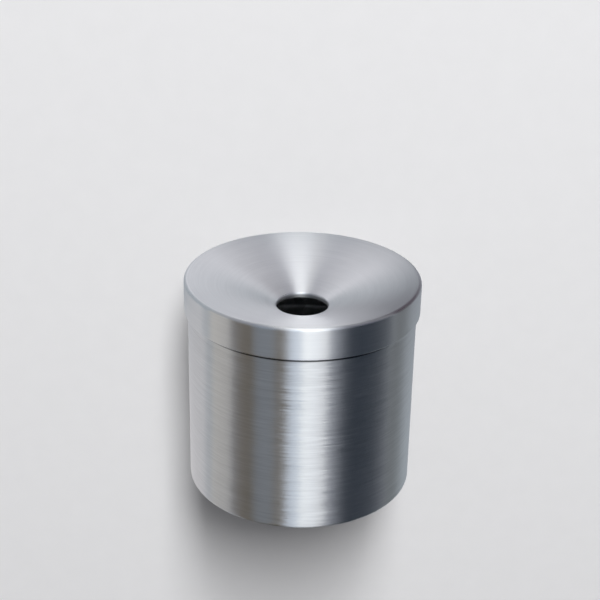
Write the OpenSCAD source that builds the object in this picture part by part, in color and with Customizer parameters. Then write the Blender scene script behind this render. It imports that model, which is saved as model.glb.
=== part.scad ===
// Wall-hung ashtray bin: a brushed stainless steel drum with a funnel lid, a lift-out
// bucket, and a hooked plate that screws to the wall.
// Millimetres, +Z up, the wall is the plane y = 0 and the bin hangs on its -Y side.
// The origin is the centre of the wall plate's back face.

/* [Drum] */
// Outer diameter of the drum
drum_d = 155; // [150:1:180]
// Height from the underside of the drum to the top of the lid
total_h = 150; // [140:1:200]
// Thickness of the drum, base and lid sheet
sheet_t = 1; // [0.8:0.1:1.5]
// Space between the back of the drum and the wall
wall_gap = 7.5; // [7.5:0.5:12]
// Outer radius of the corner at the foot of the drum
foot_r = 2; // [1.6:0.2:4]
// Height of the base pan's upturned wall
pan_h = 9; // [6:1:14]

/* [Lid] */
// Outside of the lid's skirt past the outside of the drum
skirt_step = 2.5; // [2.5:0.1:4]
// Height of the lid's skirt
skirt_h = 22.5; // [18:0.5:30]
// Height of the folded hem inside the foot of the skirt
hem_h = 6; // [4:1:10]
// Outer radius of the edge between skirt and funnel
rim_r = 2.2; // [1.8:0.1:4]
// Slope of the funnel beside the rim, in degrees
rim_slope = 13; // [8:1:16]
// Slope of the funnel beside the hole, in degrees
hole_slope = 25; // [18:1:30]
// Diameter of the hole at the foot of the funnel
hole_d = 35.5; // [30:0.5:45]
// Radius of the lip that rolls down into the hole
lip_r = 1.6; // [1.6:0.1:4]
// Straight length of the throat under the lip
throat_h = 2; // [1:0.5:6]

/* [Bucket] */
// Space all round between the bucket and the outside of the drum
bucket_gap = 7.5; // [7.5:0.5:12]
// Thickness of the bucket's sheet
bucket_t = 0.8; // [0.6:0.1:1]
// Depth of the bucket's rim below the top of the lid
bucket_drop = 17; // [17:1:30]
// Outer radius of the bucket's bottom corner
bucket_corner_r = 6; // [4:1:12]
// Diameter of the handle's wire
wire_d = 3; // [2.5:0.1:3.2]

/* [Wall plate] */
// Width of the wall plate
plate_w = 50; // [44:1:60]
// Height of the wall plate
plate_h = 110; // [100:1:114]
// Thickness of the wall plate
plate_t = 2; // [1.5:0.1:2]
// Distance between the two screw holes
hole_pitch = 90; // [86:1:92]
// Diameter of the screw holes
screw_hole_d = 5.2; // [4.5:0.1:6]
// Width of the hook's tongue
tongue_w = 30; // [24:1:32]

/* [Hidden] */
$fn = 96;

seat = 0.05;        // gap between faces that rest on each other
slide = 0.1;        // gap between the lid's hem and the drum
hole_play = 0.08;   // radial play of a wire or rivet in its hole
arc_n = 8;          // steps in a small round corner
funnel_n = 24;      // steps down the funnel

// Drum and lid
drum_r = drum_d / 2;
drum_in_r = drum_r - sheet_t;
lid_r = drum_r + skirt_step;
axis_y = -(drum_r + wall_gap);
plate_lift = 12.5;   // from the foot of the drum up to the foot of the wall plate
foot_z = -plate_h / 2 - plate_lift;
top_z = foot_z + total_h;
foot_flange_w = 6.5;
curl_r = 1.5 * sheet_t;
curl_x = drum_r - curl_r;

// Funnel: a shallow arc between the rim and the lip, all tangent to each other
rim_x = lid_r - rim_r;
rim_z = top_z - rim_r;
lip_x = hole_d / 2 + lip_r;
rim_end_x = rim_x - rim_r * sin(rim_slope);
lip_end_x = lip_x - lip_r * sin(hole_slope);
funnel_r = (rim_end_x - lip_end_x) / (sin(hole_slope) - sin(rim_slope));
funnel_x = rim_end_x + funnel_r * sin(rim_slope);
funnel_z = rim_z + (rim_r - funnel_r) * cos(rim_slope);
lip_z = funnel_z + (funnel_r - lip_r) * cos(hole_slope);

// The drum's curled edge touches the underside of the funnel
under_r = funnel_r - sheet_t - curl_r - seat;
curl_z = funnel_z + sqrt(under_r * under_r - (funnel_x - curl_x) * (funnel_x - curl_x));

// Bucket and its handle
pan_z = foot_z + sheet_t + seat;
bucket_r = drum_r - bucket_gap;
bucket_in_r = bucket_r - bucket_t;
bucket_z = pan_z + sheet_t + seat;
bucket_curl_z = top_z - bucket_drop - 2 * bucket_t;
ear_t = 1.5;
ear_w = 16;
ear_out_r = bucket_in_r - seat;
ear_in_r = ear_out_r - ear_t;
ear_top_r = 5.5;
ear_foot = 16;      // length of the ear below the bucket's rim
ear_rivet_drop = 9; // from the bucket's rim to the rivets
ear_rivet_y = 4;
ear_rivet_d = 3;
ear_rivet_head_d = 5.8;
ear_rivet_head_h = 1;
ear_rivet_tail_d = 4.8;
pivot_h = 6;        // from the bucket's rim up to the handle's pivot
pivot_z = top_z - bucket_drop + pivot_h;
wire_r = wire_d / 2;
wire_bend_r = 3;
wire_head_r = 2.6;  // of the upset end outside the bucket
wire_head_h = 1.1;
bail_r = ear_in_r - wire_bend_r - 0.2;
bail_reach = bucket_r + bucket_t;   // the handle's front lies on the bucket's rim
bail_leg = bail_reach - bail_r - wire_bend_r;
bail_dip = asin((pivot_h - wire_r - seat) / bail_reach);

// Hook and strap, measured out from the wall
strap_t = 1.5;
strap_u = plate_t + 0.5;
tongue_u = strap_u + strap_t + 0.6;
bend_r = 0.6;
shelf_z = 4;
strap_z = shelf_z + plate_t + seat;
strap_h = 26;
tongue_top_z = strap_z + 22;
window_h = 30;
lance_gap = 0.4;    // cut on each side of the tongue
flange_half_w = 34;
rivet_x = 26;
rivet_z = strap_z + strap_h / 2;
rivet_pitch_z = 15;
rivet_d = 4;
bumper_x = 14;
bumper_z = -28;
bumper_r = 6;

// Points along an arc, from angle a to angle b
function arc(x, y, r, a, b, n = arc_n) =
    [for (i = [0:n]) [x + r * cos(a + (b - a) * i / n), y + r * sin(a + (b - a) * i / n)]];

// Moves a shape onto the bin's own upright axis
module on_axis() {
    translate([0, axis_y, 0]) children();
}

// Turns an outline of [radius, height] points about the bin's axis
module lathe(points) {
    on_axis() rotate_extrude($fn = 240) polygon(points);
}

module rounded_rect(w, h, r) {
    square([w - 2 * r, h], center = true);
    square([w, h - 2 * r], center = true);
    for (x = [-1, 1], y = [-1, 1])
        translate([x * (w / 2 - r), y * (h / 2 - r)]) circle(r);
}

// Stands a drawing of [x, z] points up on the wall and gives it depth away from it
module off_wall(from, depth) {
    translate([0, -from, 0]) rotate([90, 0, 0]) linear_extrude(depth) children();
}

// ---- Fixed to the wall ----

// Side view of the hook, as [distance from the wall, height]
hook_outline = concat(
    [[0, 0]],
    arc(plate_t + bend_r, shelf_z - bend_r, plate_t + bend_r, 180, 90),
    arc(tongue_u - bend_r, shelf_z + plate_t + bend_r, bend_r, -90, 0),
    arc(tongue_u + plate_t / 2, tongue_top_z, plate_t / 2, 180, 0),
    arc(tongue_u - bend_r, shelf_z + plate_t + bend_r, plate_t + bend_r, 0, -90),
    arc(plate_t + bend_r, shelf_z - bend_r, bend_r, 90, 180),
    [[plate_t, 0]]
);

module wall_plate() color("silver") {
    difference() {
        off_wall(0, plate_t) rounded_rect(plate_w, plate_h, 6);
        translate([0, 0, shelf_z - bend_r + window_h / 2])
            cube([tongue_w + 2 * lance_gap, 3 * plate_t, window_h], center = true);
        for (side = [-1, 1])
            translate([0, 0, side * hole_pitch / 2]) rotate([90, 0, 0])
                cylinder(d = screw_hole_d, h = 3 * plate_t, center = true);
    }
    translate([-tongue_w / 2, 0, 0]) rotate([90, 0, -90]) mirror([0, 0, 1])
        linear_extrude(tongue_w) polygon(hook_outline);
}

// Domed rubber bumper between the wall plate and the back of the drum
module bumper(side) color("dimgray") {
    edge_r = 2.5;
    near_x = bumper_x - bumper_r + edge_r;
    drum_u = wall_gap + drum_r - sqrt(drum_r * drum_r - near_x * near_x);
    height = drum_u - plate_t - 4 * seat;
    translate([side * bumper_x, -plate_t - seat, bumper_z]) rotate([90, 0, 0])
        rotate_extrude() polygon(concat(
            [[0, 0], [bumper_r, 0]],
            arc(bumper_r - edge_r, height - edge_r, edge_r, 0, 90),
            [[0, height]]
        ));
}

// ---- Drum ----

// Holes for the hanger's rivets, and the rivets themselves, stand square to the drum
module at_hanger_rivets() {
    turn = asin(rivet_x / drum_r);
    for (side = [-1, 1], up = [-1, 1])
        on_axis() rotate([0, 0, 90 + side * turn])
            translate([0, 0, rivet_z + up * rivet_pitch_z / 2]) rotate([0, 90, 0]) children();
}

module drum() color("gainsboro") difference() {
    lathe(concat(
        [[drum_r - foot_flange_w, foot_z]],
        arc(drum_r - foot_r, foot_z + foot_r, foot_r, -90, 0),
        arc(curl_x, curl_z, curl_r, 0, 270, 3 * arc_n),
        arc(curl_x, curl_z, curl_r - sheet_t, 270, 0, 3 * arc_n),
        arc(drum_r - foot_r, foot_z + foot_r, foot_r - sheet_t, 0, -90),
        [[drum_r - foot_flange_w, foot_z + sheet_t]]
    ));
    at_hanger_rivets() cylinder(r = rivet_d / 2 + hole_play, h = drum_r + 5);
}

module base_pan() color("lightgray") {
    pan_r = drum_in_r - seat;
    corner_r = 3.5;
    lathe(concat(
        [[0, pan_z]],
        arc(pan_r - corner_r, pan_z + corner_r, corner_r, -90, 0),
        [[pan_r, pan_z + pan_h], [pan_r - sheet_t, pan_z + pan_h]],
        arc(pan_r - corner_r, pan_z + corner_r, corner_r - sheet_t, 0, -90),
        [[0, pan_z + sheet_t]]
    ));
}

// Sheet strap on the back of the drum: its pocket drops over the wall plate's tongue
module hanger_strap() color("silver") {
    pocket_w = tongue_w + 2;
    strap_w = pocket_w + 2 * strap_t;
    inner_r = drum_r + seat;
    difference() {
        translate([0, 0, strap_z]) linear_extrude(strap_h) {
            difference() {
                translate([0, -strap_u - drum_r / 2]) rounded_rect(strap_w, drum_r, 2.5);
                translate([0, -strap_u - strap_t - drum_r / 2]) rounded_rect(pocket_w, drum_r, 1);
                translate([0, axis_y]) circle(inner_r, $fn = 240);
            }
            intersection() {
                translate([0, axis_y]) difference() {
                    circle(inner_r + strap_t, $fn = 240);
                    circle(inner_r, $fn = 240);
                }
                for (side = [-1, 1])
                    translate([side * (flange_half_w + pocket_w / 2) / 2, -drum_r / 2])
                        square([flange_half_w - pocket_w / 2, drum_r], center = true);
            }
        }
        at_hanger_rivets() cylinder(r = rivet_d / 2 + hole_play, h = 2 * drum_r);
    }
}

// Blind rivet along +Z: dome outside the sheets, bulb inside them
module blind_rivet(d, from, to, head_r, head_h) {
    bulb_h = 0.45 * d;
    translate([0, 0, from - bulb_h]) cylinder(d1 = d, d2 = 1.4 * d, h = bulb_h);
    translate([0, 0, from - bulb_h]) cylinder(d = d, h = to - from + bulb_h + head_h / 2);
    translate([0, 0, to]) rotate_extrude() polygon(concat(
        [[0, 0], [head_r, 0]],
        [for (i = [0:arc_n]) let (a = 90 * i / arc_n)
            [head_r * cos(a), 0.3 + (head_h - 0.3) * sin(a)]]
    ));
}

module hanger_rivets() color("whitesmoke")
    at_hanger_rivets() blind_rivet(
        rivet_d, drum_in_r - 0.1, drum_r + seat + strap_t + 0.12, rivet_d, 1.3);

// ---- Bucket ----

module bucket() color("lightsteelblue") difference() {
    bottom_x = bucket_r - bucket_corner_r;
    lathe(concat(
        [[0, bucket_z]],
        arc(bottom_x, bucket_z + bucket_corner_r, bucket_corner_r, -90, 0),
        arc(bucket_r + bucket_t, bucket_curl_z, bucket_t, 180, -90, 2 * arc_n),
        arc(bucket_r + bucket_t, bucket_curl_z, 2 * bucket_t, -90, 180, 2 * arc_n),
        arc(bottom_x, bucket_z + bucket_corner_r, bucket_corner_r - bucket_t, 0, -90),
        [[0, bucket_z + bucket_t]]
    ));
    at_ear_rivets() cylinder(d = ear_rivet_d + 2 * hole_play, h = 2 * bucket_r);
}

// The rivets of both ears, square to the bucket's wall
module at_ear_rivets(sides = [-1, 1]) {
    turn = asin(ear_rivet_y / bucket_r);
    for (side = sides, y = [-1, 1])
        on_axis() rotate([0, 0, 90 - side * 90 + y * turn])
            translate([0, 0, top_z - bucket_drop - ear_rivet_drop]) rotate([0, 90, 0]) children();
}

// Curved steel tab inside the bucket's wall; side is -1 for left and 1 for right
module handle_ear(side) color("silver") difference() {
    foot_h = ear_foot + 6;
    intersection() {
        on_axis() translate([0, 0, pivot_z - foot_h]) difference() {
            cylinder(r = ear_out_r, h = foot_h + ear_top_r, $fn = 240);
            translate([0, 0, -1]) cylinder(r = ear_in_r, h = foot_h + ear_top_r + 2, $fn = 240);
        }
        on_axis() translate([0, 0, pivot_z]) rotate([90, 0, 90]) mirror([0, 0, side < 0 ? 1 : 0])
            linear_extrude(bucket_r) {
                circle(ear_top_r);
                polygon([
                    [-ear_top_r, 0], [-ear_w / 2, -9], [-ear_w / 2, -foot_h],
                    [ear_w / 2, -foot_h], [ear_w / 2, -9], [ear_top_r, 0]
                ]);
            }
    }
    on_axis() translate([0, 0, pivot_z]) rotate([0, side * 90, 0])
        cylinder(r = wire_r + hole_play, h = 2 * bucket_r);
    at_ear_rivets([side]) cylinder(d = ear_rivet_d + 2 * hole_play, h = 2 * bucket_r);
}

module ear_rivets() color("whitesmoke")
    at_ear_rivets() {
        head_from = ear_in_r - ear_rivet_head_h - hole_play;
        tail_from = bucket_r + hole_play;
        translate([0, 0, head_from]) cylinder(d = ear_rivet_head_d, h = ear_rivet_head_h);
        translate([0, 0, head_from]) cylinder(d = ear_rivet_d, h = tail_from - head_from + 0.1);
        translate([0, 0, tail_from]) cylinder(d = ear_rivet_tail_d, h = ear_rivet_head_h);
    }

// Wire handle, lying forwards on the bucket's rim; it swings about the ears' holes
module bail_handle() color("darkgray")
    on_axis() translate([0, 0, pivot_z]) rotate([bail_dip, 0, 0]) {
        translate([0, -wire_bend_r - bail_leg, 0]) rotate([0, 0, 180])
            rotate_extrude(angle = 180, $fn = 240) translate([bail_r, 0]) circle(wire_r);
        for (side = [-1, 1]) mirror([side < 0 ? 1 : 0, 0, 0]) {
            translate([bail_r, -wire_bend_r, 0]) rotate([90, 0, 0])
                cylinder(r = wire_r, h = bail_leg);
            translate([bail_r + wire_bend_r, -wire_bend_r, 0]) rotate([0, 0, 90])
                rotate_extrude(angle = 90) translate([wire_bend_r, 0]) circle(wire_r);
            translate([bail_r + wire_bend_r, 0, 0]) rotate([0, 90, 0])
                cylinder(r = wire_r, h = bucket_r + 2 * wire_head_h - bail_r - wire_bend_r);
            translate([bucket_r + wire_head_h, 0, 0]) rotate([0, 90, 0])
                cylinder(r1 = wire_head_r, r2 = 0.85 * wire_head_r, h = wire_head_h);
        }
    }

// ---- Lid ----

module funnel_lid() color("gainsboro")
    lathe(concat(
        arc(lid_r - sheet_t, top_z - skirt_h + sheet_t, sheet_t, 0, -90),
        [[drum_r + slide + sheet_t, top_z - skirt_h]],
        arc(drum_r + slide + sheet_t, top_z - skirt_h + sheet_t, sheet_t, -90, -180),
        [[drum_r + slide, top_z - skirt_h + hem_h], [lid_r - sheet_t, top_z - skirt_h + hem_h]],
        arc(rim_x, rim_z, rim_r - sheet_t, 0, 90 + rim_slope),
        arc(funnel_x, funnel_z, funnel_r - sheet_t, 90 + rim_slope, 90 + hole_slope, funnel_n),
        arc(lip_x, lip_z, lip_r - sheet_t, 90 + hole_slope, 180),
        [[lip_x - lip_r + sheet_t, lip_z - throat_h], [lip_x - lip_r, lip_z - throat_h]],
        arc(lip_x, lip_z, lip_r, 180, 90 + hole_slope),
        arc(funnel_x, funnel_z, funnel_r, 90 + hole_slope, 90 + rim_slope, funnel_n),
        arc(rim_x, rim_z, rim_r, 90 + rim_slope, 0)
    ));

wall_plate();
bumper(-1);  // bumper_left
bumper(1);  // bumper_right
drum();
base_pan();
hanger_strap();
hanger_rivets();
bucket();
handle_ear(-1);  // handle_ear_left
handle_ear(1);  // handle_ear_right
ear_rivets();
bail_handle();
funnel_lid();
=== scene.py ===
import math

import bmesh
import bpy
from mathutils import Matrix, Vector


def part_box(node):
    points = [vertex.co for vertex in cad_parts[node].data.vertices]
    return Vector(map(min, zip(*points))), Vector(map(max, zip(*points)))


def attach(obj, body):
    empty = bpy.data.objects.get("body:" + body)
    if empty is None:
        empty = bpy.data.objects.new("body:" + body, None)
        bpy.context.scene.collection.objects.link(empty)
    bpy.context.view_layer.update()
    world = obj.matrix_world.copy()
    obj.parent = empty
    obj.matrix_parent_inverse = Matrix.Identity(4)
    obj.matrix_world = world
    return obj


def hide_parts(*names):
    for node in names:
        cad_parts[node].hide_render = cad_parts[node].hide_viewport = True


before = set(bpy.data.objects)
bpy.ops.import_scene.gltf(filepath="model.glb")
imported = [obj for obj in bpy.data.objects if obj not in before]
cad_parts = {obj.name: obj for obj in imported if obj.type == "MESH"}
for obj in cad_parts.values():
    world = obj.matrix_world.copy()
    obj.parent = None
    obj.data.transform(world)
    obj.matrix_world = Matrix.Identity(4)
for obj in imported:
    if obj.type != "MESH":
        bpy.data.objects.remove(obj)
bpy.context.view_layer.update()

# ---- Sizes, in metres and degrees ----

MM = 0.001
SHEET = 1.0 * MM            # drum, base pan and lid
RIM_R = 2.2 * MM            # edge between the lid's skirt and its funnel
RIM_SLOPE = 13              # of the funnel, beside the rim
HOLE_SLOPE = 25             # of the funnel, beside the hole
LIP_R = 1.6 * MM            # edge between the funnel and its hole
HOLE_R = 17.75 * MM
SKIRT_H = 22.5 * MM
HEM_H = 6.0 * MM            # fold inside the lower edge of the skirt
HEM_GAP = 0.1 * MM          # between the hem and the drum
DRUM_CURL_R = 1.5 * MM      # top edge of the drum, curled inward
FOOT_R = 2.0 * MM           # corner at the foot of the drum
FOOT_FLANGE = 6.5 * MM      # how far the foot is turned in
PAN_CORNER_R = 3.5 * MM
BUCKET_SHEET = 0.8 * MM
BUCKET_CORNER_R = 6.0 * MM
BEAD_H = 5.0 * MM           # stiffening beads round the bucket
BEAD_DEPTH = 0.6 * MM
BEAD_PLACES = (0.3, 0.72)   # shares of the bucket's height

lid_low, lid_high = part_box("funnel_lid")
drum_low, drum_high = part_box("drum")
pan_low, pan_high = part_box("base_pan")
bucket_low, bucket_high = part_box("bucket")

AXIS = Vector((0, (drum_low.y + drum_high.y) / 2, 0))
LID_R = lid_high.x
TOP_Z = lid_high.z
SKIRT_Z = TOP_Z - SKIRT_H
DRUM_R = drum_high.x
BUCKET_R = bucket_high.x - 3 * BUCKET_SHEET     # the rolled rim is three sheets wide

WELD = 0.002 * MM           # points of a CAD node that are this close are one point
TURN_STEPS = 288            # round a large turned piece
RIVET_STEPS = 48
BUMPER_STEPS = 64


# ---- Outlines of turned pieces, as (radius, height) points ----

def arc(x, z, r, a, b, n):
    """Points along an arc, from angle a to angle b."""
    turns = [math.radians(a + (b - a) * i / n) for i in range(n + 1)]
    return [(x + r * math.cos(t), z + r * math.sin(t)) for t in turns]


def straight(start, end, n):
    """Points along a straight stretch, both ends included."""
    return [
        (start[0] + (end[0] - start[0]) * i / n, start[1] + (end[1] - start[1]) * i / n)
        for i in range(n + 1)
    ]


def lid_profile():
    """Once round the lid's sheet: skirt, hem, inside, throat, then the outside to the rim."""
    rim_x, rim_z = LID_R - RIM_R, TOP_Z - RIM_R
    lip_x = HOLE_R + LIP_R
    sin_rim, cos_rim = math.sin(math.radians(RIM_SLOPE)), math.cos(math.radians(RIM_SLOPE))
    sin_hole, cos_hole = math.sin(math.radians(HOLE_SLOPE)), math.cos(math.radians(HOLE_SLOPE))
    rim_end_x = rim_x - RIM_R * sin_rim
    funnel_r = (rim_end_x - lip_x + LIP_R * sin_hole) / (sin_hole - sin_rim)
    funnel_x = rim_end_x + funnel_r * sin_rim
    funnel_z = rim_z + (RIM_R - funnel_r) * cos_rim
    lip_z = funnel_z + (funnel_r - LIP_R) * cos_hole
    hem_x = DRUM_R + HEM_GAP
    rim_a, hole_a = 90 + RIM_SLOPE, 90 + HOLE_SLOPE
    return (
        straight((LID_R, rim_z), (LID_R, SKIRT_Z + SHEET), 12)
        + arc(LID_R - SHEET, SKIRT_Z + SHEET, SHEET, 0, -90, 10)
        + arc(hem_x + SHEET, SKIRT_Z + SHEET, SHEET, -90, -180, 8)
        + [(hem_x, SKIRT_Z + HEM_H), (LID_R - SHEET, SKIRT_Z + HEM_H)]
        + arc(rim_x, rim_z, RIM_R - SHEET, 0, rim_a, 16)
        + arc(funnel_x, funnel_z, funnel_r - SHEET, rim_a, hole_a, 48)
        + arc(lip_x, lip_z, LIP_R - SHEET, hole_a, 180, 12)
        + [(HOLE_R + SHEET, lid_low.z), (HOLE_R, lid_low.z)]
        + arc(lip_x, lip_z, LIP_R, 180, hole_a, 16)
        + arc(funnel_x, funnel_z, funnel_r, hole_a, rim_a, 64)
        + arc(rim_x, rim_z, RIM_R, rim_a, 0, 20)[:-1]
    )


def drum_profile():
    """Once round the drum's sheet: outside from foot to curl, then down the inside."""
    foot_z = drum_low.z
    foot_x = DRUM_R - FOOT_R
    curl_x, curl_z = DRUM_R - DRUM_CURL_R, drum_high.z - DRUM_CURL_R
    return (
        [(DRUM_R - FOOT_FLANGE, foot_z)]
        + arc(foot_x, foot_z + FOOT_R, FOOT_R, -90, 0, 12)
        + straight((DRUM_R, foot_z + FOOT_R), (DRUM_R, curl_z), 48)
        + arc(curl_x, curl_z, DRUM_CURL_R, 0, 270, 32)
        + arc(curl_x, curl_z, DRUM_CURL_R - SHEET, 270, 0, 24)
        + straight((DRUM_R - SHEET, curl_z), (DRUM_R - SHEET, foot_z + FOOT_R), 24)
        + arc(foot_x, foot_z + FOOT_R, FOOT_R - SHEET, 0, -90, 8)
        + [(DRUM_R - FOOT_FLANGE, foot_z + SHEET)]
    )


def pan_profile():
    """The base pan: a disc with an upturned wall that ends in a rounded edge."""
    pan_r, pan_z = pan_high.x, pan_low.z
    corner_x, corner_z = pan_r - PAN_CORNER_R, pan_z + PAN_CORNER_R
    edge_r = SHEET / 2
    return (
        straight((0, pan_z), (corner_x, pan_z), 8)
        + arc(corner_x, corner_z, PAN_CORNER_R, -90, 0, 12)
        + arc(pan_r - edge_r, pan_high.z - edge_r, edge_r, 0, 180, 8)
        + arc(corner_x, corner_z, PAN_CORNER_R - SHEET, 0, -90, 10)
        + straight((corner_x, pan_z + SHEET), (0, pan_z + SHEET), 8)
    )


def beaded(x, low_z, high_z):
    """The bucket's wall at radius x, with two shallow beads that stiffen it."""
    points = straight((x, low_z), (x, high_z), 120)
    beads = [bucket_low.z + share * (bucket_high.z - bucket_low.z) for share in BEAD_PLACES]
    swollen = []
    for r, z in points:
        near = min(abs(z - bead) for bead in beads)
        swell = 0.5 + 0.5 * math.cos(math.pi * min(1, near / (BEAD_H / 2)))
        swollen.append((r + BEAD_DEPTH * swell, z))
    return swollen


def bucket_profile():
    """Once round the bucket's sheet, with its rolled rim."""
    floor_z = bucket_low.z
    corner_x, corner_z = BUCKET_R - BUCKET_CORNER_R, floor_z + BUCKET_CORNER_R
    curl_x, curl_z = BUCKET_R + BUCKET_SHEET, bucket_high.z - 2 * BUCKET_SHEET
    inside_r = BUCKET_R - BUCKET_SHEET
    return (
        straight((0, floor_z), (corner_x, floor_z), 8)
        + arc(corner_x, corner_z, BUCKET_CORNER_R, -90, 0, 12)
        + beaded(BUCKET_R, corner_z, curl_z)
        + arc(curl_x, curl_z, BUCKET_SHEET, 180, -90, 20)
        + arc(curl_x, curl_z, 2 * BUCKET_SHEET, -90, 180, 28)
        + beaded(inside_r, corner_z, curl_z)[::-1]
        + arc(corner_x, corner_z, BUCKET_CORNER_R - BUCKET_SHEET, 0, -90, 12)
        + straight((corner_x, floor_z + BUCKET_SHEET), (0, floor_z + BUCKET_SHEET), 8)
    )


def blind_rivet_profile(inner, outer):
    """A blind rivet: bulb inside the sheets, dome outside with its broken-off pin in a hole."""
    shank_r, bulb_r, head_r = 2.0 * MM, 2.7 * MM, 4.0 * MM
    hole_r, pin_r, hole_h = 1.2 * MM, 1.0 * MM, 0.7 * MM
    head_z = outer - 1.3 * MM
    dome_z = head_z + 0.3 * MM
    turns = [math.radians(90 * i / 10) for i in range(11)]
    dome = [
        (hole_r + (head_r - hole_r) * math.cos(t), dome_z + (outer - dome_z) * math.sin(t))
        for t in turns
    ]
    return (
        [(0, inner), (bulb_r * 0.6, inner), (bulb_r, inner + 0.5 * MM), (bulb_r, inner + 1.1 * MM)]
        + [(shank_r, inner + 1.8 * MM), (shank_r, head_z), (head_r, head_z)]
        + dome
        + [(hole_r, outer - hole_h), (pin_r, outer - hole_h), (pin_r, outer - 0.35 * MM)]
        + [(pin_r * 0.7, outer - 0.25 * MM), (0, outer - 0.25 * MM)]
    )


def ear_rivet_profile(inner, outer):
    """A semi-tubular rivet: a low dome inside the bucket, a rolled-over end outside."""
    shank_r, head_r, head_h = 1.5 * MM, 2.9 * MM, 1.0 * MM
    roll_r, roll_h, hole_r = 2.4 * MM, 0.9 * MM, 0.8 * MM
    soft = 0.35 * MM
    return (
        [(0, inner), (head_r * 0.5, inner + 0.05 * MM), (head_r * 0.8, inner + 0.2 * MM)]
        + [(head_r, inner + 0.5 * MM), (head_r, inner + head_h), (shank_r, inner + head_h)]
        + [(shank_r, outer - roll_h), (roll_r - soft, outer - roll_h)]
        + arc(roll_r - roll_h / 2, outer - roll_h / 2, roll_h / 2, -60, 100, 10)
        + [(hole_r, outer - soft), (hole_r * 0.8, outer - roll_h), (0, outer - roll_h)]
    )


def bumper_profile(radius, height):
    """A domed rubber foot with a moulding dimple in its top."""
    edge_r, dimple_r, dimple_h = 2.5 * MM, 1.2 * MM, 0.4 * MM
    return (
        [(0, 0), (radius, 0)]
        + straight((radius, 0), (radius, height - edge_r), 3)
        + arc(radius - edge_r, height - edge_r, edge_r, 0, 90, 12)
        + [(dimple_r, height), (dimple_r * 0.6, height - dimple_h * 0.8), (0, height - dimple_h)]
    )


# ---- Meshes ----

def without_doubles(points, gap=0.001 * MM):
    """An outline without the points that repeat the one before them."""
    kept = [points[0]]
    for point in points[1:]:
        if math.dist(point, kept[-1]) > gap:
            kept.append(point)
    return kept


def sharpness(points, i):
    """How tightly an outline turns at a point, from 0 on a flat stretch to 1 on an edge."""
    if i == 0 or i == len(points) - 1:
        return 0
    before = Vector(points[i]) - Vector(points[i - 1])
    after = Vector(points[i + 1]) - Vector(points[i])
    turn = abs(before.angle_signed(after, 0))
    edge_r = 1.5 * MM
    return min(1.0, turn * edge_r / (0.5 * (before.length + after.length)))


def turn_outline(bm, profile, place, steps):
    """Turns an outline about the z axis of place.

    Each vertex keeps how far along the outline it lies and how sharp the edge is there."""
    points = without_doubles(profile)
    along_layer = bm.verts.layers.float.get("along") or bm.verts.layers.float.new("along")
    edge_layer = bm.verts.layers.float.get("edge") or bm.verts.layers.float.new("edge")
    on_axis = 0.01 * MM
    rings = []
    along = 0
    for i, (r, z) in enumerate(points):
        if i:
            along += math.dist(points[i - 1], points[i])
        count = 1 if r < on_axis else steps
        ring = []
        for k in range(count):
            turn = 2 * math.pi * k / count
            vert = bm.verts.new(place @ Vector((r * math.sin(turn), -r * math.cos(turn), z)))
            vert[along_layer] = along
            vert[edge_layer] = sharpness(points, i)
            ring.append(vert)
        rings.append(ring)
    pairs = list(zip(rings, rings[1:]))
    if len(rings[0]) > 1 and len(rings[-1]) > 1:
        pairs.append((rings[-1], rings[0]))
    for low, high in pairs:
        for k in range(steps):
            m = (k + 1) % steps
            corners = [
                low[k % len(low)], low[m % len(low)], high[m % len(high)], high[k % len(high)]]
            bm.faces.new(dict.fromkeys(corners))


def add_piece(name, bm, node, body, material):
    """Makes the piece that is shown instead of a CAD node."""
    bmesh.ops.recalc_face_normals(bm, faces=bm.faces)
    mesh = bpy.data.meshes.new(name)
    bm.to_mesh(mesh)
    bm.free()
    mesh.shade_smooth()
    mesh.set_sharp_from_angle(angle=math.radians(40))
    mesh.materials.append(material)
    piece = bpy.data.objects.new(name, mesh)
    bpy.context.scene.collection.objects.link(piece)
    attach(piece, body)
    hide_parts(node)
    return piece


def add_turned(name, profile, node, body, material, place=None, steps=TURN_STEPS):
    """A turned piece, about the bin's axis unless it has a place of its own."""
    bm = bmesh.new()
    turn_outline(bm, profile, place or Matrix.Translation(AXIS), steps)
    add_piece(name, bm, node, body, material)


def islands(node):
    """The separate solids of a CAD node, each as a list of its points."""
    bm = bmesh.new()
    bm.from_mesh(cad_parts[node].data)
    bmesh.ops.remove_doubles(bm, verts=bm.verts, dist=WELD)
    left = set(bm.verts)
    found = []
    while left:
        start = min(left, key=lambda v: v.index)
        reached = {start}
        to_visit = [start]
        while to_visit:
            vert = to_visit.pop()
            for edge in vert.link_edges:
                other = edge.other_vert(vert)
                if other not in reached:
                    reached.add(other)
                    to_visit.append(other)
        left -= reached
        found.append([v.co.copy() for v in reached])
    bm.free()
    return found


def add_rivets(name, node, outline, body, material):
    """A turned rivet for each solid of the node, square to the bin's axis."""
    bm = bmesh.new()
    up = Vector((0, 0, 1))
    for points in islands(node):
        low = Vector(min(p[i] for p in points) for i in range(3))
        high = Vector(max(p[i] for p in points) for i in range(3))
        centre = (low + high) / 2
        outward = Vector((centre.x - AXIS.x, centre.y - AXIS.y, 0)).normalized()
        reach = [(p - AXIS).dot(outward) for p in points]
        turn = Matrix((up.cross(outward), up, outward)).transposed().to_4x4()
        place = Matrix.Translation(Vector((AXIS.x, AXIS.y, centre.z))) @ turn
        turn_outline(bm, outline(min(reach), max(reach)), place, RIVET_STEPS)
    add_piece(name, bm, node, body, material)


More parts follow.
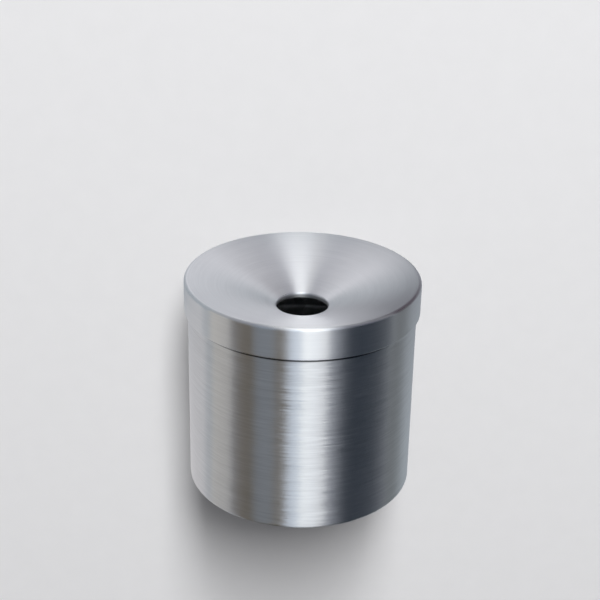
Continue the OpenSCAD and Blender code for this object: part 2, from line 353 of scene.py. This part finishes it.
def add_softened(name, node, body, material, width):
    """A copy of a CAD node with its sharp edges rounded, so that they catch the light."""
    flat_angle, sharp_angle = math.radians(0.5), math.radians(35)
    bm = bmesh.new()
    bm.from_mesh(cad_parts[node].data)
    edge_layer = bm.verts.layers.float.new("edge")
    bmesh.ops.remove_doubles(bm, verts=bm.verts, dist=WELD)
    bmesh.ops.dissolve_limit(bm, angle_limit=flat_angle, verts=bm.verts, edges=bm.edges)
    sharp = [
        edge for edge in bm.edges
        if len(edge.link_faces) == 2 and edge.calc_face_angle(0) > sharp_angle
    ]
    rounded = bmesh.ops.bevel(
        bm, geom=sharp, offset=width, segments=3, profile=0.5, affect="EDGES", clamp_overlap=True)
    for vert in rounded["verts"]:
        vert[edge_layer] = 1
    piece = add_piece(name, bm, node, body, material)
    flat_faces = piece.modifiers.new("flat_faces", "WEIGHTED_NORMAL")
    flat_faces.keep_sharp = True


# ---- Node trees ----

class Graph:
    """Adds nodes to a shader's tree. A value is a number, a colour, or another node's output."""

    def __init__(self, tree):
        self.tree = tree
        tree.nodes.clear()

    def put(self, socket, value):
        """Links an output to the socket, or sets the socket to a number or colour."""
        if isinstance(value, bpy.types.NodeSocket):
            self.tree.links.new(value, socket)
        else:
            socket.default_value = value

    def node(self, kind, inputs=None, **settings):
        made = self.tree.nodes.new("ShaderNode" + kind)
        for key, value in settings.items():
            setattr(made, key, value)
        for key, value in (inputs or {}).items():
            self.put(made.inputs[key], value)
        return made

    def math(self, operation, *values):
        return self.node("Math", dict(enumerate(values)), operation=operation).outputs[0]

    def plus(self, a, b):
        return self.math("ADD", a, b)

    def minus(self, a, b):
        return self.math("SUBTRACT", a, b)

    def times(self, a, b):
        return self.math("MULTIPLY", a, b)

    def vector(self, operation, *values):
        return self.node("VectorMath", dict(enumerate(values)), operation=operation).outputs[0]

    def parts(self, vector):
        """The X, Y and Z of a vector."""
        return self.node("SeparateXYZ", {"Vector": vector}).outputs

    def span(self, value, low, high, to_low=0.0, to_high=1.0, smooth=False):
        """Maps low..high to to_low..to_high, held at the ends."""
        made = self.node(
            "MapRange",
            {"From Min": low, "From Max": high, "To Min": to_low, "To Max": to_high},
            interpolation_type="SMOOTHSTEP" if smooth else "LINEAR",
        )
        self.put(made.inputs["Value"], value)
        return made.outputs[0]

    def vary(self, noise, low, high):
        """Maps a noise, whose values are mostly 0.3 to 0.7, to low..high."""
        return self.span(noise, 0.3, 0.7, low, high)

    def mix(self, factor, a, b, blend="MIX"):
        """Mixes two colours."""
        made = self.node("Mix", data_type="RGBA", blend_type=blend)
        self.put(made.inputs[0], factor)
        self.put(made.inputs[6], a)
        self.put(made.inputs[7], b)
        return made.outputs[2]

    def shaded(self, tint, shade):
        """The tint, made darker or lighter by a number near 1."""
        dim = self.node("CombineColor", {0: shade, 1: shade, 2: shade})
        return self.mix(1.0, tint, dim.outputs[0], blend="MULTIPLY")

    def noise(self, vector, detail=2.0, roughness=0.5, scale=1.0):
        inputs = {"Vector": vector, "Scale": scale, "Detail": detail, "Roughness": roughness}
        return self.node("TexNoise", inputs).outputs["Fac"]

    def stretched_noise(self, parts, along, width, length, detail):
        """Noise in lines about the bin's axis: width across them, length along them."""
        place = self.node("CombineXYZ", {
            "X": self.math("DIVIDE", parts["X"], length),
            "Y": self.math("DIVIDE", parts["Y"], length),
            "Z": self.math("DIVIDE", along, width),
        })
        return self.noise(place.outputs[0], detail=detail, roughness=0.65)

    def attribute(self, name):
        """A number that the mesh keeps at each vertex: "along" or "edge"."""
        return self.node("Attribute", attribute_name=name).outputs["Fac"]

    def place(self):
        """The place in the object's own frame, in metres."""
        return self.node("TexCoord").outputs["Object"]

    def normal(self):
        return self.node("NewGeometry").outputs["Normal"]

    def is_camera(self):
        """1 for what the camera sees directly."""
        return self.node("LightPath").outputs["Is Camera Ray"]

    def surface(self, inputs):
        """Ends the tree in a surface with these inputs."""
        self.output(self.node("BsdfPrincipled", inputs).outputs[0])

    def output(self, shader, kind="Material"):
        self.tree.links.new(shader, self.node("Output" + kind).inputs[0])


def grey(value, blue=0.0):
    """A neutral colour, a little bluer or warmer."""
    return (value * (1 - blue), value, value * (1 + blue), 1)


def new_material(name):
    material = bpy.data.materials.new(name)
    material.use_nodes = True
    return material, Graph(material.node_tree)


# ---- Materials ----

def turned_steel(name, tint, line_w, line_l, contrast, waver, painted_shade_band, roughness=0.36):
    """Steel brushed in circles about the bin's axis.

    line_w and line_l are the width and length of a brush line, contrast is how much darker
    the lines are, and waver is how far they lean out of true, in degrees. The highlight
    spreads across the lines, so it is drawn out along the profile and stays narrow around
    the axis. Painted shade darkens the outside between the two heights of the shade band,
    where the lid's lower edge meets the drum, most in front: a painted shadow of the gap under the
    skirt."""
    material, g = new_material(name)
    place = g.place()
    parts = g.parts(place)
    along = g.attribute("along")
    edge = g.attribute("edge")
    coarse = g.stretched_noise(parts, along, line_w, line_l, 3.0)
    fine = g.stretched_noise(parts, along, line_w / 4, line_l / 3, 2.0)
    lean = g.stretched_noise(parts, along, line_w * 0.22, line_l * 0.7, 0.0)
    cloud = g.noise(place, detail=3.0, scale=22.0)
    groove = g.plus(g.times(coarse, 0.6), g.times(fine, 0.4))

    # Painted shade: a dark band round the outside at the lid's lower edge, strongest in front, a
    # painted shadow of the gap under the skirt.
    fade = 0.25 * MM
    below_top = g.span(parts["Z"], painted_shade_band[1] - fade, painted_shade_band[1] + fade, 1.0, 0.0)
    above_bottom = g.span(parts["Z"], painted_shade_band[0] - fade, painted_shade_band[0] + fade)
    front_y = AXIS.y - DRUM_R
    in_front = g.span(parts["Y"], front_y + 6 * MM, front_y + 30 * MM, 1.0, 0.2, smooth=True)
    painted_gap_shade = g.times(g.times(below_top, above_bottom), in_front)

    shade = g.span(groove, 0.32, 0.68, 1 - contrast, 1 + contrast * 0.5)
    shade = g.times(shade, g.vary(cloud, 0.98, 1.02))
    shade = g.times(shade, g.span(edge, 0.2, 1.0, 1.0, 1.05))
    # Darkens the colour by the painted shadow band at the lid's lower edge.
    shade = g.times(shade, g.span(painted_gap_shade, 0.0, 1.0, 1.0, 0.12))
    rough = g.vary(fine, roughness - 0.06, roughness + 0.06)
    rough = g.plus(rough, g.vary(cloud, -0.012, 0.012))
    rough = g.minus(rough, g.span(edge, 0.2, 1.0, 0.0, 0.05))

    tangent = g.node("Tangent", direction_type="RADIAL", axis="Z").outputs[0]
    tilt = math.tan(math.radians(waver))
    tilted = g.vector("MULTIPLY", tangent, g.vary(lean, -tilt, tilt))
    bump = g.node("Bump", {
        "Strength": 1.0,
        "Distance": 0.015 * MM,
        "Height": groove,
        "Normal": g.vector("NORMALIZE", g.vector("ADD", g.normal(), tilted)),
    })
    g.surface({
        "Base Color": g.shaded(tint, shade),
        "Metallic": 1.0,
        "Roughness": rough,
        "Anisotropic": 1.0,
        "Anisotropic Rotation": 0.25,
        "Tangent": tangent,
        "Normal": bump.outputs[0],
    })
    return material


def ash_cover(g, place):
    """Where ash lies in the bucket: thick on the floor, in blots that thin out up the wall."""
    parts = g.parts(place)
    flat = g.vector("MULTIPLY", g.vector("SUBTRACT", place, tuple(AXIS)), (1, 1, 0))
    radius = g.node("VectorMath", {0: flat}, operation="LENGTH").outputs["Value"]
    inside = g.math("LESS_THAN", radius, BUCKET_R - 0.4 * BUCKET_SHEET)
    floor_z = bucket_low.z
    near_floor = g.span(parts["Z"], floor_z + 0.3 * MM, floor_z + 28 * MM, 1.0, 0.0, smooth=True)
    blot = g.noise(place, detail=6.0, roughness=0.7, scale=45.0)
    dust = g.span(g.plus(blot, g.times(near_floor, 0.35)), 0.62, 0.95, 0.0, 0.85)
    not_facing_down = g.span(g.parts(g.normal())["Z"], -0.4, 0.0)
    return g.times(g.times(dust, inside), not_facing_down)


def galvanised_steel(name, with_ash):
    """Hot-dipped zinc: a spangle of crystals, each a little brighter or duller than the next."""
    material, g = new_material(name)
    place = g.place()
    warp = g.noise(place, detail=3.0, scale=90.0)
    warp_by = 6 * MM
    bent = g.vector("ADD", place, g.vector("MULTIPLY", (warp_by, warp_by, warp_by), warp))
    crystals = g.node("TexVoronoi", {"Vector": bent, "Scale": 150.0, "Randomness": 1.0})
    tone = g.node("SeparateColor", {0: crystals.outputs["Color"]}).outputs
    feathers = g.noise(place, detail=6.0, scale=700.0)
    shade = g.span(tone[0], 0.0, 1.0, 0.82, 1.06)
    shade = g.times(shade, g.vary(feathers, 0.96, 1.03))
    colour = g.shaded(grey(0.66, 0.02), shade)
    rough = g.span(tone[1], 0.0, 1.0, 0.30, 0.46)
    metal = 1.0
    if with_ash:
        ash = ash_cover(g, place)
        speck = g.noise(place, detail=3.0, scale=1500.0)
        ash_colour = g.shaded(grey(0.16, -0.05), g.vary(speck, 0.6, 1.6))
        colour = g.mix(ash, colour, ash_colour)
        rough = g.plus(rough, g.times(ash, 0.45))
        metal = g.minus(1.0, g.times(ash, 0.9))
    bump = g.node("Bump", {"Strength": 0.6, "Distance": 0.03 * MM, "Height": feathers})
    g.surface({
        "Base Color": colour,
        "Metallic": metal,
        "Roughness": rough,
        "Normal": bump.outputs[0],
    })
    return material


def plated_steel(name, tint, other_tint, roughness, grain_scale, grain_stretch):
    """Zinc or nickel over pressed steel: cloudy, mottled, finely scratched, and worn at edges.

    The sheet's grain runs along the axes where grain_stretch is small."""
    material, g = new_material(name)
    place = g.place()
    wear = g.span(g.attribute("edge"), 0.3, 1.0)
    cloud = g.noise(place, detail=3.0, scale=55.0)
    mottle = g.noise(place, detail=6.0, roughness=0.7, scale=260.0)
    long_place = g.vector("MULTIPLY", place, grain_stretch)
    grain = g.noise(long_place, detail=4.0, roughness=0.6, scale=grain_scale)
    scratch = g.span(g.noise(long_place, detail=1.0, scale=grain_scale * 3), 0.66, 0.74)
    colour = g.mix(g.span(cloud, 0.38, 0.62), tint, other_tint)
    shade = g.times(g.vary(mottle, 0.84, 1.08), g.vary(grain, 0.88, 1.06))
    shade = g.times(shade, g.span(scratch, 0.0, 1.0, 1.0, 1.15))
    worn_colour = grey(0.80)
    colour = g.mix(g.times(wear, 0.6), g.shaded(colour, shade), worn_colour)
    rough = g.plus(g.vary(mottle, -0.09, 0.09), roughness)
    rough = g.minus(rough, g.times(wear, 0.08))
    height = g.plus(g.times(mottle, 0.6), grain)
    height = g.minus(height, g.times(scratch, 0.5))
    bump = g.node("Bump", {"Strength": 0.7, "Distance": 0.04 * MM, "Height": height})
    g.surface({
        "Base Color": colour,
        "Metallic": 1.0,
        "Roughness": rough,
        "Normal": bump.outputs[0],
    })
    return material


def moulded_rubber(name):
    """Black rubber with a fine grain, a little dust and scuffed edges."""
    material, g = new_material(name)
    black, dusty, scuffed = grey(0.028), grey(0.11, -0.04), grey(0.14)
    place = g.place()
    grain = g.noise(place, detail=4.0, roughness=0.7, scale=2500.0)
    dust = g.noise(place, detail=4.0, scale=180.0)
    colour = g.mix(g.span(dust, 0.45, 0.75, 0.0, 0.35), black, dusty)
    colour = g.mix(g.span(g.attribute("edge"), 0.2, 1.0, 0.0, 0.25), colour, scuffed)
    bump = g.node("Bump", {"Strength": 0.7, "Distance": 0.05 * MM, "Height": grain})
    g.surface({
        "Base Color": colour,
        "Roughness": g.vary(dust, 0.62, 0.85),
        "Specular IOR Level": 0.4,
        "Normal": bump.outputs[0],
    })
    return material


# ---- Camera ----

def make_camera():
    """A long lens in front of the bin, which looks down on the lid."""
    data = bpy.data.cameras.new("camera")
    camera = bpy.data.objects.new("camera", data)
    bpy.context.scene.collection.objects.link(camera)
    bpy.context.scene.camera = camera
    data.sensor_width = 36
    data.lens = 82.5
    pitch, yaw, roll = (math.radians(a) for a in (25.13, -0.11, 1.12))
    distance, height = 0.8438, 0.3782
    ahead = Vector((
        math.sin(yaw) * math.cos(pitch), math.cos(yaw) * math.cos(pitch), -math.sin(pitch)))
    level = Vector((math.cos(yaw), -math.sin(yaw), 0))
    above = level.cross(ahead)
    right = math.cos(roll) * level + math.sin(roll) * above
    up = math.cos(roll) * above - math.sin(roll) * level
    turn = Matrix((right, up, -ahead)).transposed().to_4x4()
    camera.matrix_world = Matrix.Translation((0, AXIS.y - distance, TOP_Z + height)) @ turn


# ---- Studio ----

# What metal mirrors of the room: (name, azimuths, elevations, softness, colour), in degrees.
# Azimuth 0 is behind the camera, 90 is to the right, and 180 is beyond the wall.
ROOM_GREY = (0.32, 0.34, 0.39, 1)
PANELS = [
    ("left_low", (-150, -68), (-29, 11), 9, (0.69, 0.66, 0.60, 1)),
    ("left_gap", (-69, -14), (-64, 6), 4, (0.11, 0.08, 0.03, 1)),
    ("left_glow", (-45, -24), (-29, 57), 4, (0.27, 0.32, 0.39, 1)),
    ("rear_softbox", (140, 190), (-70, 90), 30, (0.70, 0.72, 0.75, 1)),
    ("right_dark", (36, 94), (-71, 16), 21, (0.01, 0.02, 0.03, 1)),
    ("right_mid", (42, 83), (18, 41), 14, (0.09, 0.09, 0.13, 1)),
    ("ceiling", (-180, 180), (44, 123), 15, (0.28, 0.29, 0.35, 1)),
    ("softbox_low", (-12, 19), (-57, 33), 8, (0.71, 0.80, 0.92, 1)),
    ("softbox_high", (-17, 38), (29, 86), 25, (1.55, 1.64, 1.79, 1)),
    ("softbox_core", (7, 25), (-27, 21), 4, (1.45, 1.48, 1.50, 1)),
    ("strip", (1, 8), (-28, 47), 5, (1.69, 1.72, 1.68, 1)),
    ("zenith", (-180, 180), (73, 105), 4, (1.80, 1.80, 1.75, 1)),
    ("ground", (-180, 180), (-108, -61), 4, (0.03, 0.03, 0.04, 1)),
]

# What metal mirrors of the wall, painted as a glow that only metal sees, a painted reflection of
# lit and shaded wall: (name, x range, z range, softness, colour), in metres.
WALL_GREY = (0.39, 0.43, 0.47, 1)
WALL_PANELS = [
    ("wall_lit", (-0.11, 0.05), (0.11, 0.31), 0.05, (0.90, 0.90, 0.96, 1)),
    ("wall_shade", (0.08, 1.46), (0.09, 0.46), 0.12, (0.09, 0.07, 0.09, 1)),
    ("wall_low_right", (0.29, 1.48), (-0.55, 0.13), 0.18, (0.19, 0.21, 0.22, 1)),
    ("wall_high", (-1.54, 1.55), (0.55, 3.04), 0.28, (0.39, 0.38, 0.38, 1)),
    ("wall_low_left", (-0.53, -0.05), (-0.62, 0.03), 0.05, (0.71, 0.70, 0.72, 1)),
]

WALL_Y = 0.5 * MM           # just behind the wall plate
FLOOR_Z = -0.5
WALL_TINT = (0.86, 0.86, 0.87, 1)
FLOOR_TINT = (0.80, 0.80, 0.80, 1)
ROOM_TINT = (0.80, 0.80, 0.81, 1)       # what the camera sees beyond the wall and floor
AMBIENT = (0.16, 0.16, 0.168, 1)        # light from all round on surfaces that aren't mirrors


def panelled(g, colour, panels, across, upward):
    """Lays panels with soft edges over a colour, each one on top of those before it."""
    half_turn = 180

    def within(place, low, high, soft):
        away = g.minus(place, (low + high) / 2)
        away = g.math("ABSOLUTE", g.math("WRAP", away, half_turn, -half_turn))
        half = (high - low) / 2
        return g.span(away, half - soft / 2, half + soft / 2, 1.0, 0.0, smooth=True)

    for _name, (left, right), (low, high), soft, shine in panels:
        cover = g.times(within(across, left, right, soft), within(upward, low, high, soft))
        colour = g.mix(cover, colour, shine)
    return colour


def seen_in_metal(g):
    """1 for what a piece of metal mirrors to the camera, and 0 for any other ray."""
    ray = g.node("LightPath").outputs
    return g.times(ray["Is Glossy Ray"], g.math("LESS_THAN", ray["Diffuse Depth"], 0.5))


def make_world():
    """A pale room for the camera, dim light for matt surfaces, and the panels for metal."""
    world = bpy.data.worlds.new("studio")
    bpy.context.scene.world = world
    world.use_nodes = True
    world.cycles.sampling_method = "NONE"
    g = Graph(world.node_tree)
    parts = g.parts(g.node("TexCoord").outputs["Generated"])
    azimuth = g.math("DEGREES", g.math("ARCTAN2", parts["X"], g.times(parts["Y"], -1.0)))
    elevation = g.math("DEGREES", g.math("ARCSINE", parts["Z"]))
    room = panelled(g, ROOM_GREY, PANELS, azimuth, elevation)
    colour = g.mix(seen_in_metal(g), g.mix(g.is_camera(), AMBIENT, ROOM_TINT), room)
    g.output(g.node("Background", {"Color": colour, "Strength": 1.0}).outputs[0], "World")


def backdrop_material(name, tint, bounce, axis, limit, hidden_side, mirrored=None):
    """Matt paint that disappears when the camera is beyond it.

    bounce is how much of its colour other surfaces get to see, and mirrored makes the
    colour that metal mirrors: a glow that only metal sees, a painted reflection of the wall."""
    material, g = new_material(name)
    camera = g.node(
        "VectorTransform", {"Vector": (0, 0, 0)},
        vector_type="POINT", convert_from="CAMERA", convert_to="WORLD")
    camera_place = g.parts(camera.outputs[0])[axis]
    hidden = g.math(hidden_side, camera_place, limit)
    grain = g.noise(g.place(), detail=4.0, scale=60.0)
    seen = g.span(g.is_camera(), 0.0, 1.0, bounce, 1.0)
    shader = g.node("BsdfPrincipled", {
        "Base Color": g.shaded(tint, g.times(seen, g.vary(grain, 0.985, 1.0))),
        "Roughness": 0.9,
        "Specular IOR Level": 0.1,
    })
    # Painted reflection: for rays from metal, the paint glows with lit and shaded patches, though
    # the wall is no lamp.
    if mirrored:
        glow = g.node("Emission", {"Color": mirrored(g)})
        shader = g.node(
            "MixShader", {0: seen_in_metal(g), 1: shader.outputs[0], 2: glow.outputs[0]})
    clear = g.node("BsdfTransparent")
    shader = g.node("MixShader", {0: hidden, 1: shader.outputs[0], 2: clear.outputs[0]})
    g.output(shader.outputs[0])
    return material


def painted_wall_reflection(g):
    """The glow that metal mirrors at each place on the wall: painted patches of wall light and
    wall shade, a painted reflection.
    """
    parts = g.parts(g.place())
    return panelled(g, WALL_GREY, WALL_PANELS, parts["X"], parts["Z"])


def make_backdrop(name, corners, material):
    mesh = bpy.data.meshes.new(name)
    mesh.from_pydata(corners, [], [(0, 1, 2, 3)])
    mesh.materials.append(material)
    piece = bpy.data.objects.new(name, mesh)
    bpy.context.scene.collection.objects.link(piece)
    return piece


def make_light(name, azimuth, elevation, distance, size, power):
    """An area light that looks at the bin and that metal doesn't mirror: the panels do that."""
    data = bpy.data.lights.new(name, "AREA")
    data.shape = "RECTANGLE"
    data.size, data.size_y = size
    data.energy = power
    lamp = bpy.data.objects.new(name, data)
    bpy.context.scene.collection.objects.link(lamp)
    a, e = math.radians(azimuth), math.radians(elevation)
    outward = Vector((math.sin(a) * math.cos(e), -math.cos(a) * math.cos(e), math.sin(e)))
    lamp.location = AXIS + distance * outward
    lamp.rotation_euler = (-outward).to_track_quat("-Z", "Y").to_euler()
    lamp.visible_glossy = False


def make_stage():
    """The wall that the bin hangs on, the floor below it, and two lights."""
    half, wall_h, floor_d = 2.5, 2.5, 5.0
    wall_paint = backdrop_material(
        "wall_paint", WALL_TINT, bounce=0.6, axis="Y", limit=WALL_Y,
        hidden_side="GREATER_THAN", mirrored=painted_wall_reflection)
    floor_paint = backdrop_material(
        "floor_paint", FLOOR_TINT, bounce=0.15, axis="Z", limit=FLOOR_Z, hidden_side="LESS_THAN")
    make_backdrop("wall", [
        (-half, WALL_Y, FLOOR_Z), (half, WALL_Y, FLOOR_Z),
        (half, WALL_Y, wall_h), (-half, WALL_Y, wall_h)], wall_paint)
    floor = make_backdrop("floor", [
        (-half, -floor_d, FLOOR_Z), (half, -floor_d, FLOOR_Z),
        (half, half, FLOOR_Z), (-half, half, FLOOR_Z)], floor_paint)
    floor.visible_glossy = False
    make_light("key", azimuth=7.5, elevation=47, distance=5.0, size=(1.1, 2.5), power=280)
    make_light("rear_fill", azimuth=150, elevation=35, distance=1.8, size=(1.2, 1.2), power=60)


# ---- The scene ----

bpy.context.scene.view_settings.view_transform = "Standard"
make_camera()
make_world()
make_stage()

# Both steels get a painted shadow band where the lid's lower edge meets the drum.
satin = turned_steel(
    "satin_steel", grey(0.80), line_w=1.2 * MM, line_l=36 * MM, contrast=0.14, waver=1.6,
    painted_shade_band=(SKIRT_Z - 1.9 * MM, SKIRT_Z + 0.5 * MM))
spun = turned_steel(
    "spun_steel", grey(0.84), line_w=1.0 * MM, line_l=60 * MM, contrast=0.06, waver=0.5,
    painted_shade_band=(SKIRT_Z - 0.5 * MM, SKIRT_Z + 0.4 * MM))
galvanised = galvanised_steel("galvanised_steel", with_ash=True)
galvanised_ear = galvanised_steel("galvanised_ear_steel", with_ash=False)
zinc = plated_steel(
    "zinc_steel", grey(0.58, 0.06), grey(0.62, -0.07),
    roughness=0.36, grain_scale=500.0, grain_stretch=(1, 1, 0.06))
rivet_steel = plated_steel(
    "rivet_steel", grey(0.74), grey(0.68, 0.03),
    roughness=0.32, grain_scale=900.0, grain_stretch=(1, 1, 1))
wire_steel = plated_steel(
    "wire_steel", grey(0.60), grey(0.52, 0.03),
    roughness=0.32, grain_scale=1200.0, grain_stretch=(1, 0.2, 1))
rubber = moulded_rubber("rubber")

add_turned("lid_shell", lid_profile(), "funnel_lid", "lid", spun)
add_turned("drum_shell", drum_profile(), "drum", "casing", satin)
add_turned("base_pan_shell", pan_profile(), "base_pan", "casing", satin)
add_turned("bucket_shell", bucket_profile(), "bucket", "bucket", galvanised)
add_softened("wall_plate_shell", "wall_plate", "wall_bracket", zinc, 0.35 * MM)
add_softened("hanger_strap_shell", "hanger_strap", "casing", zinc, 0.3 * MM)
for side in ("left", "right"):
    add_softened(
        "ear_" + side, "handle_ear_" + side, "bucket", galvanised_ear,
        0.25 * MM)
    low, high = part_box("bumper_" + side)
    foot_outline = bumper_profile((high.x - low.x) / 2, high.y - low.y)
    on_plate = Matrix.Translation(((low.x + high.x) / 2, high.y, (low.z + high.z) / 2))
    add_turned(
        "rubber_foot_" + side, foot_outline, "bumper_" + side, "wall_bracket", rubber,
        on_plate @ Matrix.Rotation(math.radians(90), 4, "X"), BUMPER_STEPS)
add_rivets(
    "blind_rivets", "hanger_rivets", blind_rivet_profile, "casing", rivet_steel)
add_rivets("tubular_rivets", "ear_rivets", ear_rivet_profile, "bucket", rivet_steel)
add_softened("wire_handle", "bail_handle", "handle", wire_steel, 0.2 * MM)
